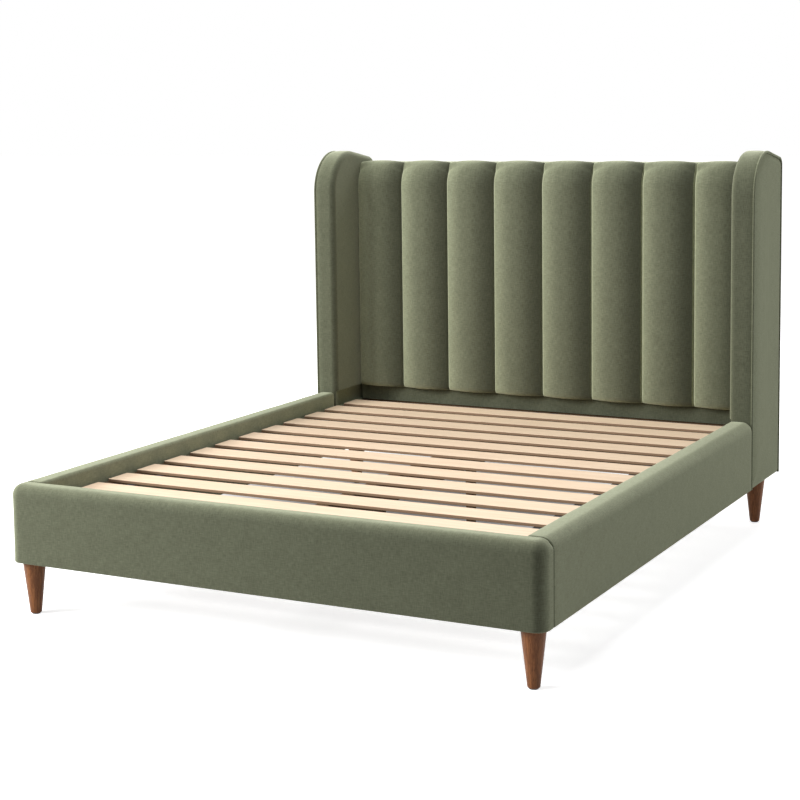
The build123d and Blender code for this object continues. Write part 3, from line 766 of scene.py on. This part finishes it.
# Footboard
def footboard():
    """The plan outline with rounded front corners carries a wall, and a top that falls away near its edges.

    The top's height is the full height less R - sqrt(R² - (R - d)²) within R of an edge, where d is the
    distance from that edge in plan.
    """
    end_roll = rail_end_roll
    end_arc = 0.98 * end_roll
    outline, normals = rounded_path(
        [
            (-half_width + end_roll, foot_high.y),
            (-half_width, foot_high.y),
            (-half_width, foot_low.y),
            (half_width, foot_low.y),
            (half_width, foot_high.y),
            (half_width - end_roll, foot_high.y),
        ],
        [end_arc, footboard_corner, footboard_corner, end_arc],
        step=0.022,
        steps_round=12,
    )
    width = foot_high.y - foot_low.y
    corner_x = half_width - footboard_corner
    reach = np.clip((outline[:, 1] - foot_low.y) / width, 0, 1)
    target_x = np.where(np.abs(outline[:, 0]) <= corner_x, outline[:, 0], 0.0)
    beyond = corner_x + (half_width - end_roll - corner_x) * smoothstep(reach)
    target_x = np.where(np.abs(outline[:, 0]) > corner_x, np.sign(outline[:, 0]) * beyond, target_x)
    target = np.stack([target_x, np.full(len(outline), foot_high.y)], axis=1)
    outer = rail_top_roll * (1 - np.cos(np.linspace(0, np.pi / 2, 12))) / width
    inner = 1 - rail_inner_roll * (1 - np.cos(np.linspace(0, np.pi / 2, 7)))[::-1] / width
    share = np.concatenate([outer, np.linspace(outer[-1], inner[0], 4)[1:-1], inner])
    plan = outline[None] + (target - outline)[None] * share[:, None, None]

    def fall(distance, radius):
        """Drop of a rounded edge at a distance from it."""
        inside = np.clip(radius - distance, 0, radius)
        return radius - np.sqrt(np.maximum(radius**2 - inside**2, 0))

    def edge_distance(plan_points):
        """Distance in plan from the outer edge, measured about the centre within a rounded corner."""
        x, y = np.abs(plan_points[..., 0]), plan_points[..., 1] - foot_low.y
        round_x, round_y = x - corner_x, footboard_corner - y
        in_corner = (round_x > 0) & (round_y > 0)
        from_centre = np.hypot(np.maximum(round_x, 0), np.maximum(round_y, 0))
        return np.where(in_corner, footboard_corner - from_centre, np.minimum(half_width - x, y))

    top_z = rail_top_z - fall(edge_distance(plan), rail_top_roll)
    top_z = top_z - fall(foot_high.y - plan[..., 1], rail_inner_roll)
    top = np.concatenate([plan, top_z[..., None]], axis=-1)
    top[0, :, 2] = np.minimum(top[0, :, 2], rail_top_z - rail_top_roll)
    wall_share = np.linspace(0, 1, 12)[:, None]
    low_edge = np.concatenate([outline, np.full((len(outline), 1), underside_z + rail_foot_roll)], axis=1)
    wall = low_edge[None] + (top[0] - low_edge)[None] * wall_share[..., None]
    turn = np.linspace(0, np.pi / 2, 5)
    drawn = rail_foot_roll * (1 - np.sin(turn))
    dropped = rail_foot_roll * (1 - np.cos(turn))
    foot = np.empty((len(drawn), len(outline), 3))
    foot[..., :2] = outline + normals * drawn[:, None, None]
    foot[..., 2] = underside_z + dropped[:, None]
    inner_low = np.concatenate([target, np.full((len(target), 1), underside_z)], axis=1)
    inner = top[-1][None] + (inner_low - top[-1])[None] * np.linspace(0, 1, 10)[:, None, None]
    under = inner_low[None] + (foot[0] - inner_low)[None] * np.linspace(0, 1, 3)[:, None, None]
    skin = np.concatenate([foot, wall[1:], top[1:], inner[1:], under[1:]])
    skin[..., 1] = np.minimum(skin[..., 1], foot_high.y)
    length_row = 20
    round_length = arc_length(skin, 1)[length_row]
    fabric = np.stack([round_length[None].repeat(len(skin), 0), arc_length(skin, 0)], axis=-1)
    outward = grid_normals(skin)
    lift = relief_height * (relief(skin, footboard_seed) - 1)
    keep = smoothstep((skin[..., 2] - underside_z) / relief_fade)
    keep = keep * smoothstep((foot_high.y - skin[..., 1]) / seam_fade)
    inside = np.array([0, foot_high.y, 0.3])
    facing = np.sign((outward * (skin - inside)).sum(-1, keepdims=True))
    skin = skin + outward * facing * (lift * keep)[..., None]
    return soft_piece("footboard", [patch(skin, fabric=fabric)], ("footboard_cover",))


# Wings
def wing_corners(inset, foot_z):
    """The wing's outline in its own plane, from the foot of its front to the foot of its back."""
    return [
        (wing_front_y + inset, foot_z),
        (wing_front_y + inset, headboard_top_z + wing_front_rise - inset),
        (wing_back_y - inset, headboard_top_z + wing_back_rise - inset),
        (wing_back_y - inset, foot_z),
    ]


def wing_path(inset, foot_z, step=0.006, steps_round=26):
    """The outline with its two rounded corners, as points and inward normals."""
    points, normals = rounded_path(
        wing_corners(inset, foot_z),
        [wing_front_roll - inset, max(wing_back_roll - inset, least_roll)],
        step,
        steps_round,
    )
    return points, -normals


def wing_outline():
    """The outline in three runs: up the front, over the top and down the back, which has as many points as
    the front. Below a level both have the same heights. Above it the back's are drawn to its own end."""
    over, inward = wing_path(0, headboard_top_z - wing_top_run, step=0.012, steps_round=24)
    straight = np.abs(inward[:, 1]) < 1e-6
    start = np.argmin(straight) - 1
    end = len(over) - np.argmin(straight[::-1])
    over, inward = over[start : end + 1], inward[start : end + 1]
    heights = [
        np.linspace(underside_z, slat_underside_z - row_gap, 12),
        np.linspace(slat_underside_z + row_gap, first_pad_low.z - row_gap, 6),
        np.linspace(first_pad_low.z + row_gap, over[0, 1], 60),
    ]
    front_z = np.concatenate(heights)
    share = smoothstep((front_z - wing_level_z) / (over[0, 1] - wing_level_z))
    back_z = front_z + (over[-1, 1] - over[0, 1]) * share
    front = np.stack([np.full(len(front_z), wing_front_y), front_z], axis=1)
    back = np.stack([np.full(len(back_z), wing_back_y), back_z], axis=1)[::-1]
    points = np.concatenate([front, over[1:-1], back])
    towards_back = np.tile([1.0, 0.0], (len(front), 1))
    towards_front = np.tile([-1.0, 0.0], (len(back), 1))
    return points, np.concatenate([towards_back, inward[1:-1], towards_front]), len(front)


def wing_cap(side, name):
    """Front band, top, back edge and inner face of a wing.

    The band is a section carried along the outline: out from under the panel, round the welt, over a
    shallow crown and a quarter circle at the inner edge. Down the back, that edge lies flat over the frame.
    The inner face is a grid with a column under each point of the top, and the rows of the front run. Below
    the channels it steps back to the frame.
    """
    outline, inward, run = wing_outline()
    tuck_x = half_width - 2 * welt_radius - welt_tuck
    roll = np.linspace(0, np.pi / 2, 12)
    band = np.linspace(0, 1, 12)[:-1]
    band_start, band_end = half_width - band_seam_place * welt_radius, wing_face_x + wing_inner_roll
    band_x = band_start + (band_end - band_start) * band
    seam_depth = band_seam_dip * welt_radius * (1 - band) ** 12
    band_depth = band_crown * (2 * band - 1) ** 2 * (band < 0.5) + seam_depth
    x = [[tuck_x, half_width - welt_radius], band_x, band_end - wing_inner_roll * np.sin(roll)]
    x = np.concatenate(x)
    under_panel = [2 * welt_radius + welt_underlap, welt_radius]
    depth = [under_panel, band_depth, wing_inner_roll * (1 - np.cos(roll))]
    depth = np.concatenate(depth)
    skin = np.empty((len(outline), len(x), 3))
    skin[..., 0] = x
    skin[..., 1:] = outline[:, None] + inward[:, None] * depth[None, :, None]
    down_the_back = (inward[:, 0] < -0.99)[:, None]
    covered = down_the_back & (np.arange(len(x)) > 0) & (x > band_end - back_cover_strip)
    skin[..., 1] = np.where(covered, wing_back_y + back_cover, skin[..., 1])
    lowered = skin[..., 2] < first_pad_low.z
    skin[..., 0] = np.where(lowered, np.maximum(skin[..., 0], inner_half_width), skin[..., 0])
    edge = skin[:, -1]
    crest = edge[run - 1 : len(edge) - run + 1]
    lift = smoothstep((edge[:run, 2] - wing_level_z) / (edge[run - 1, 2] - wing_level_z))
    face = np.empty((run, len(crest), 3))
    face[..., 1] = crest[None, :, 1]
    face[..., 2] = edge[:run, 2][:, None] + lift[:, None] * (crest[:, 2] - edge[run - 1, 2])[None]
    height = face[..., 2]
    behind_band = smoothstep((face[..., 1] - crest[0, 1]) / padding_step)
    slot = (height < first_pad_low.z) & (height > slat_underside_z)
    face[..., 0] = np.where(height < first_pad_low.z, inner_half_width, wing_face_x)
    ahead_of_back = smoothstep((wing_back_y - padding_stop - face[..., 1]) / padding_step)
    face[..., 0] += inner_padding * slot * behind_band * ahead_of_back
    fabric = np.stack([arc_length(skin, 1), arc_length(skin, 0)[:, 5:6] + 0 * skin[..., 0]], axis=-1)
    skin_length = fabric[run // 2, -1, 0]
    face_fabric = np.stack([skin_length + face[..., 1] - crest[0, 1], height - underside_z], axis=-1)
    sheets = [patch(mirrored(skin, side), fabric=fabric), patch(mirrored(face, side), fabric=face_fabric)]
    return soft_piece(f"wing_cap_{name}", sheets, (f"wing_pad_{name}",), wing_cloth)


def wing_panel(side, name):
    """Outer panel: closed outlines drawn in step by step, rising from the seam in part of an ellipse.

    The rise takes the first of the two slopes near the front and the second one near the back.
    """
    rim = 2 * welt_radius + welt_tuck
    rolls = (panel_foot_rolls[0], wing_front_roll - rim, wing_back_roll - rim, panel_foot_rolls[1])
    least_rolls = (0.001, 0.010, 0.004, 0.002)
    insets = np.array([0, 1.5, 4, 8, 13, 19, 26, 34, 43, 53, 64, 76, 89, 103, 118, 135]) / 1000
    rings = []
    for inset in insets:
        corners = wing_corners(rim + inset, underside_z + inset)
        middle = ((corners[0][0] + corners[3][0]) / 2, corners[0][1])
        path, _ = rounded_path(
            [middle, corners[0], corners[1], corners[2], corners[3], middle],
            [max(roll - inset, least) for roll, least in zip(rolls, least_rolls)],
            step=10.0,
            steps_round=16,
            counts=(3, 24, 12, 24, 3),
        )
        rings.append(path)
    rings = np.stack(rings)
    backwards = smoothstep((rings[..., 0] - wing_front_y - panel_slope_start) / panel_slope_run)
    slope = panel_edge_slopes[0] + (panel_edge_slopes[1] - panel_edge_slopes[0]) * backwards
    rise = 1 - np.clip(1 - insets[:, None] / slope, 0, 1) ** panel_rise_power
    base_x = half_width - rim
    points = np.empty(rings.shape[:2] + (3,))
    points[..., 0], points[..., 1:] = base_x + (panel_recess + welt_tuck) * rise, rings
    inner_ring = points[:1].copy()
    inner_ring[..., 0] = panel_low.x
    points = np.concatenate([inner_ring, points])
    fabric = points[..., 1:].copy()
    sheet = patch(mirrored(points, side), caps=(0, -1), fabric=fabric)
    return soft_piece(f"wing_panel_{name}", [sheet], (f"wing_side_panel_{name}",))


def wing_welt(side, name):
    """Piping: a circle carried along the outline, one radius inside it."""
    path, inward = wing_path(welt_radius, underside_z)
    angle = np.linspace(0, 2 * np.pi, 13)
    points = np.empty((len(path), len(angle), 3))
    points[..., 0] = half_width - welt_radius + welt_radius * np.cos(angle)
    points[..., 1:] = path[:, None] + inward[:, None] * (welt_radius * np.sin(angle))[None, :, None]
    sheet = patch(mirrored(points, side), caps=(0, -1))
    replaced = ("wing_welts",) if side > 0 else ()
    return soft_piece(f"wing_welt_{name}", [sheet], replaced)


# Flat upholstered pieces and legs
def block_piece(name, low, high, radius, replaced):
    """A rounded block as one upholstered piece."""
    return soft_piece(name, [patch(points) for points in rounded_block(low, high, radius)], replaced)


def tapered_leg(name):
    """A turned leg: a straight taper with a rounded foot, revolved about its own upright axis."""
    low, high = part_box(name)
    middle_x, middle_y = (low.x + high.x) / 2, (low.y + high.y) / 2
    turn = np.linspace(0, np.pi / 2, 7)
    taper = np.linspace(leg_foot_radius, (high.x - low.x) / 2, 14)[1:]
    rise = np.linspace(low.z + leg_foot_edge, high.z, 14)[1:]
    radius = np.concatenate([[0.0], leg_foot_radius - leg_foot_edge * (1 - np.sin(turn)), taper, [0.0]])
    height = np.concatenate([[low.z], low.z + leg_foot_edge * (1 - np.cos(turn)), rise, [high.z]])
    angle = np.linspace(0, 2 * np.pi, 49)
    points = np.empty((len(radius), len(angle), 3))
    points[..., 0] = middle_x + radius[:, None] * np.cos(angle)
    points[..., 1] = middle_y + radius[:, None] * np.sin(angle)
    points[..., 2] = height[:, None]
    return make_piece(f"{name}_turned", [patch(points)], leg_timber, (name,), sharp_angle=40)


def dress_nodes():
    """Give every CAD node that stays visible its own material: frame timber, unless it is listed here."""
    steel = ("corner_brackets", "corner_bolts", "leg_plates", "hanger_bolts", "beam_brackets")
    dressed = {f"slat_{number:02d}": slat_timber for number in range(1, slat_count + 1)}
    dressed |= dict.fromkeys(steel, black_steel)
    dressed |= dict.fromkeys(("leg_glides", "centre_foot_1", "centre_foot_2"), black_plastic)
    dressed["slat_tapes"] = black_tape
    for name, piece in node.items():
        piece.data.materials.clear()
        piece.data.materials.append(dressed.get(name, frame_timber))


# Floor, light and camera
def centred_fade(tree, place, centre, radii):
    """A fade from 1 at a centre to 0 on the ellipse with these radii."""
    around = add(tree, "ShaderNodeMapping", {"Vector": place}, vector_type="TEXTURE")
    around.inputs["Location"].default_value = (*centre, 0.0)
    around.inputs["Scale"].default_value = (*radii, 1.0)
    fade = add(tree, "ShaderNodeTexGradient", {"Vector": around.outputs[0]}, gradient_type="SPHERICAL")
    return fade.outputs["Fac"]


def studio_floor():
    """A pale floor that glows for the camera, so that it is seen as white away from the object's shadow.

    The glow is weaker near the middle of the floor. A soft patch below and behind the bed is a painted
    shadow:
    there the floor is darker and hardly glows, because it would show as white lines between the slats.
    """
    material, tree, shader = new_material("studio_floor")
    rays = add(tree, "ShaderNodeLightPath").outputs
    seen = maths(tree, "ADD", rays["Is Camera Ray"], rays["Is Glossy Ray"], clamp=True)
    set_finish(shader, Roughness=0.9, Specular_IOR_Level=0.0, Emission_Color=(1.0, 1.0, 1.0, 1.0))
    place = add(tree, "ShaderNodeTexCoord").outputs["Object"]
    # A painted shadow below and behind the bed: the floor is darker there and hardly glows
    under_bed = centred_fade(tree, place, (-0.55, 0.95), (1.3, 1.2))
    painted_shadow = ramp(tree, under_bed, (0.0, 0.6), smooth=True)
    floor_colour_with_painted_shadow = mix_colours(tree, painted_shadow, (0.80, 0.80, 0.80), (0.22, 0.21, 0.20))
    tree.links.new(mix_colours(tree, seen, (0.40, 0.40, 0.39), floor_colour_with_painted_shadow), shader.inputs["Base Color"])
    glow_outside_painted_shadow = maths(tree, "MULTIPLY_ADD", painted_shadow, -0.8, 1.0)
    near = centred_fade(tree, place, (0.0, 0.0), (6.0, 6.0))
    glow_level = maths(tree, "MULTIPLY_ADD", near, -0.36, 1.0)
    glow = maths(tree, "MULTIPLY", maths(tree, "MULTIPLY", seen, glow_level), glow_outside_painted_shadow)
    tree.links.new(glow, shader.inputs["Emission Strength"])
    reach = 40.0
    corners = [(-reach, -reach, 0), (reach, -reach, 0), (reach, reach, 0), (-reach, reach, 0)]
    mesh = bpy.data.meshes.new("studio_floor")
    mesh.from_pydata(corners, [], [(0, 1, 2, 3)])
    mesh.materials.append(material)
    floor = bpy.data.objects.new("studio_floor", mesh)
    bpy.context.scene.collection.objects.link(floor)


def studio_world(strength):
    """Even white light, seen by the camera as plain white."""
    world = bpy.data.worlds.new("studio")
    bpy.context.scene.world = world
    world.use_nodes = True
    tree = world.node_tree
    background = tree.nodes["Background"]
    background.inputs["Color"].default_value = (1.0, 1.0, 1.0, 1.0)
    rays = add(tree, "ShaderNodeLightPath").outputs
    seen = maths(tree, "ADD", rays["Is Camera Ray"], rays["Is Transmission Ray"], clamp=True)
    span = maths(tree, "MULTIPLY", seen, 1.0 - strength)
    tree.links.new(maths(tree, "ADD", span, strength), background.inputs["Strength"])


def softbox(name, place, target, size, power):
    """A square area lamp that points at the target."""
    lamp = bpy.data.lights.new(name, "AREA")
    lamp.shape, lamp.size, lamp.energy = "SQUARE", size, power
    holder = bpy.data.objects.new(name, lamp)
    holder.location = place
    holder.rotation_euler = (Vector(target) - Vector(place)).to_track_quat("-Z", "Y").to_euler()
    bpy.context.scene.collection.objects.link(holder)


def studio_camera(place, yaw, pitch, roll, focal_pixels, centre_pixels):
    """A camera at the place, turned left by the yaw, down by the pitch and about its own axis by the roll.

    The focal length and the point that the camera's axis meets are in pixels of an 800 pixel square image.
    """
    yaw, pitch, roll = (math.radians(angle) for angle in (yaw, pitch, roll))
    forward = Vector((-math.sin(yaw) * math.cos(pitch), math.cos(yaw) * math.cos(pitch), -math.sin(pitch)))
    level = Vector((math.cos(yaw), math.sin(yaw), 0.0))
    upright = level.cross(forward)
    right = math.cos(roll) * level + math.sin(roll) * upright
    up = -math.sin(roll) * level + math.cos(roll) * upright
    camera = bpy.data.objects.new("camera", bpy.data.cameras.new("camera"))
    image_pixels = 800
    camera.data.lens = focal_pixels / image_pixels * camera.data.sensor_width
    camera.data.shift_x = 0.5 - centre_pixels[0] / image_pixels
    camera.data.shift_y = centre_pixels[1] / image_pixels - 0.5
    camera.data.clip_end = 100.0
    turned = Matrix((right, up, -forward)).transposed().to_4x4()
    camera.matrix_world = Matrix.Translation(place) @ turned
    bpy.context.scene.collection.objects.link(camera)
    bpy.context.scene.camera = camera


for channel in range(1, channel_count + 1):
    channel_pad(channel)
for side, side_name in ((1, "right"), (-1, "left")):
    side_rail(side, side_name)
    wing_cap(side, side_name)
    wing_panel(side, side_name)
    wing_welt(side, side_name)
footboard()
block_piece("lower_strip", strip_low, strip_high, 0.003, ("headboard_lower_strip",))
block_piece("top_band", band_low, band_high, 0.008, ("headboard_top_band",))
block_piece("back_panel", back_low, back_high, 0.0028, ("headboard_back_panel",))
for leg_name in leg_names:
    tapered_leg(leg_name)
dress_nodes()

bpy.context.scene.view_settings.view_transform = "Standard"
studio_floor()
studio_world(0.14)
softbox("key", (-5.3, -4.9, 3.3), (0.0, 0.3, 0.6), 3.0, 560.0)
softbox("front", (-2.5, -4.0, 3.6), (0.0, -0.2, 0.4), 2.5, 90.0)
softbox("overhead", (0.0, -1.6, 4.8), (0.0, -0.4, 0.3), 3.0, 125.0)
softbox("side", (5.0, 2.0, 2.4), (0.8, 0.0, 0.5), 2.0, 66.0)
softbox("rear", (-1.0, 4.6, 4.2), (0.0, -0.2, 0.4), 3.0, 190.0)
studio_camera((2.6458, -5.4041, 1.5656), 28.3132, 6.4245, -0.8676, 1792.5, (360.0, 304.0))
